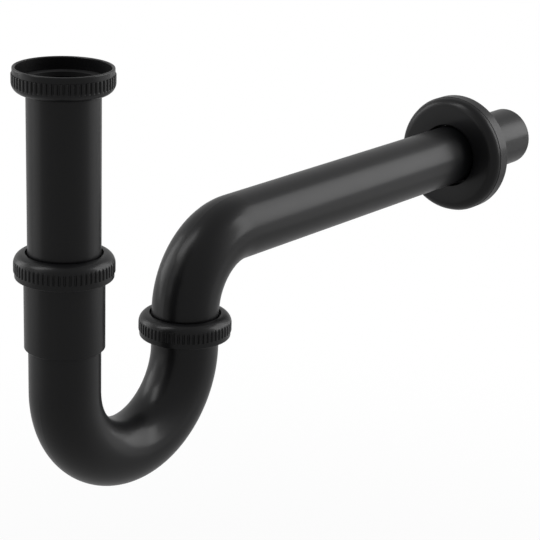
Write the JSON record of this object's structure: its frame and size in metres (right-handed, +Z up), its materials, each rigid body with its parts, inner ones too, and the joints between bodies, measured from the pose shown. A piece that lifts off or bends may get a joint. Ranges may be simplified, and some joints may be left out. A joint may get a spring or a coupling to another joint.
{
  "type": "sink trap",
  "caption": "Tubular P-trap with union nuts: height-adjustable inlet tube, swivelling U-bend, elbowed outlet pipe and sliding wall rosette.",
  "frame": {"origin": "on the inlet tube's axis, in the plane of the top nut's lip", "axes": "+Z up along the inlet tube, +X along the outlet pipe towards the wall"},
  "size_m": [0.3846, 0.064, 0.2025],
  "materials": {
    "black_lacquer": "matt black lacquer on brass tube, satin sheen",
    "seal_rubber": "matt moulded rubber",
    "black_nylon": "plain moulded nylon"
  },
  "bodies": {
    "inlet": {"inlet_tube": "black_lacquer", "inlet_seal": "seal_rubber"},
    "inlet_nut": {"inlet_nut": "black_lacquer"},
    "slip_seal": {"slip_seal": "seal_rubber"},
    "trap": {"socket": "black_lacquer", "u_bend": "black_lacquer", "ferrule": "black_lacquer", "outlet_seal": "seal_rubber"},
    "slip_ring": {"slip_ring": "black_nylon"},
    "slip_nut": {"slip_nut": "black_lacquer"},
    "outlet_ring": {"outlet_ring": "black_nylon"},
    "outlet_nut": {"outlet_nut": "black_lacquer"},
    "outlet": {"outlet_pipe": "black_lacquer"},
    "rosette": {"rosette": "black_lacquer"}
  },
  "joints": [
    {"name": "inlet_nut_turn", "type": "hinge", "parent": "inlet", "child": "inlet_nut", "pos_m": [0, 0, -0.0055], "axis": [0, 0, 1], "continuous": true},
    {"name": "trap_height", "type": "slide", "parent": "inlet", "child": "slip_seal", "axis": [0, 0, 1], "range_m": [-0.01, 0.012]},
    {"name": "trap_swivel", "type": "hinge", "parent": "slip_seal", "child": "trap", "pos_m": [0, 0, -0.0865], "axis": [0, 0, 1], "continuous": true},
    {"name": "slip_ring_lift", "type": "slide", "parent": "trap", "child": "slip_ring", "axis": [0, 0, 1], "range_m": [0, 0.00695]},
    {"name": "slip_nut_turn", "type": "hinge", "parent": "slip_ring", "child": "slip_nut", "pos_m": [0, 0, -0.0865], "axis": [0, 0, 1], "range_deg": [0, 1080]},
    {"name": "outlet_ring_lift", "type": "slide", "parent": "trap", "child": "outlet_ring", "axis": [0, 0, 1], "range_m": [0, 0.00465]},
    {"name": "outlet_nut_turn", "type": "hinge", "parent": "outlet_ring", "child": "outlet_nut", "pos_m": [0.0805, 0, -0.1355], "axis": [0, 0, 1], "range_deg": [0, 720]},
    {"name": "outlet_swivel", "type": "hinge", "parent": "trap", "child": "outlet", "pos_m": [0.0805, 0, -0.1355], "axis": [0, 0, 1], "range_deg": [-135, 135]},
    {"name": "rosette_slide", "type": "slide", "parent": "outlet", "child": "rosette", "axis": [1, 0, 0], "range_m": [-0.18, 0.05]}
  ],
  "couplings": [
    {"joint": "slip_ring_lift", "follows": "slip_nut_turn", "m_per_rad": 0.0003675},
    {"joint": "outlet_ring_lift", "follows": "outlet_nut_turn", "m_per_rad": 0.0003675}
  ]
}
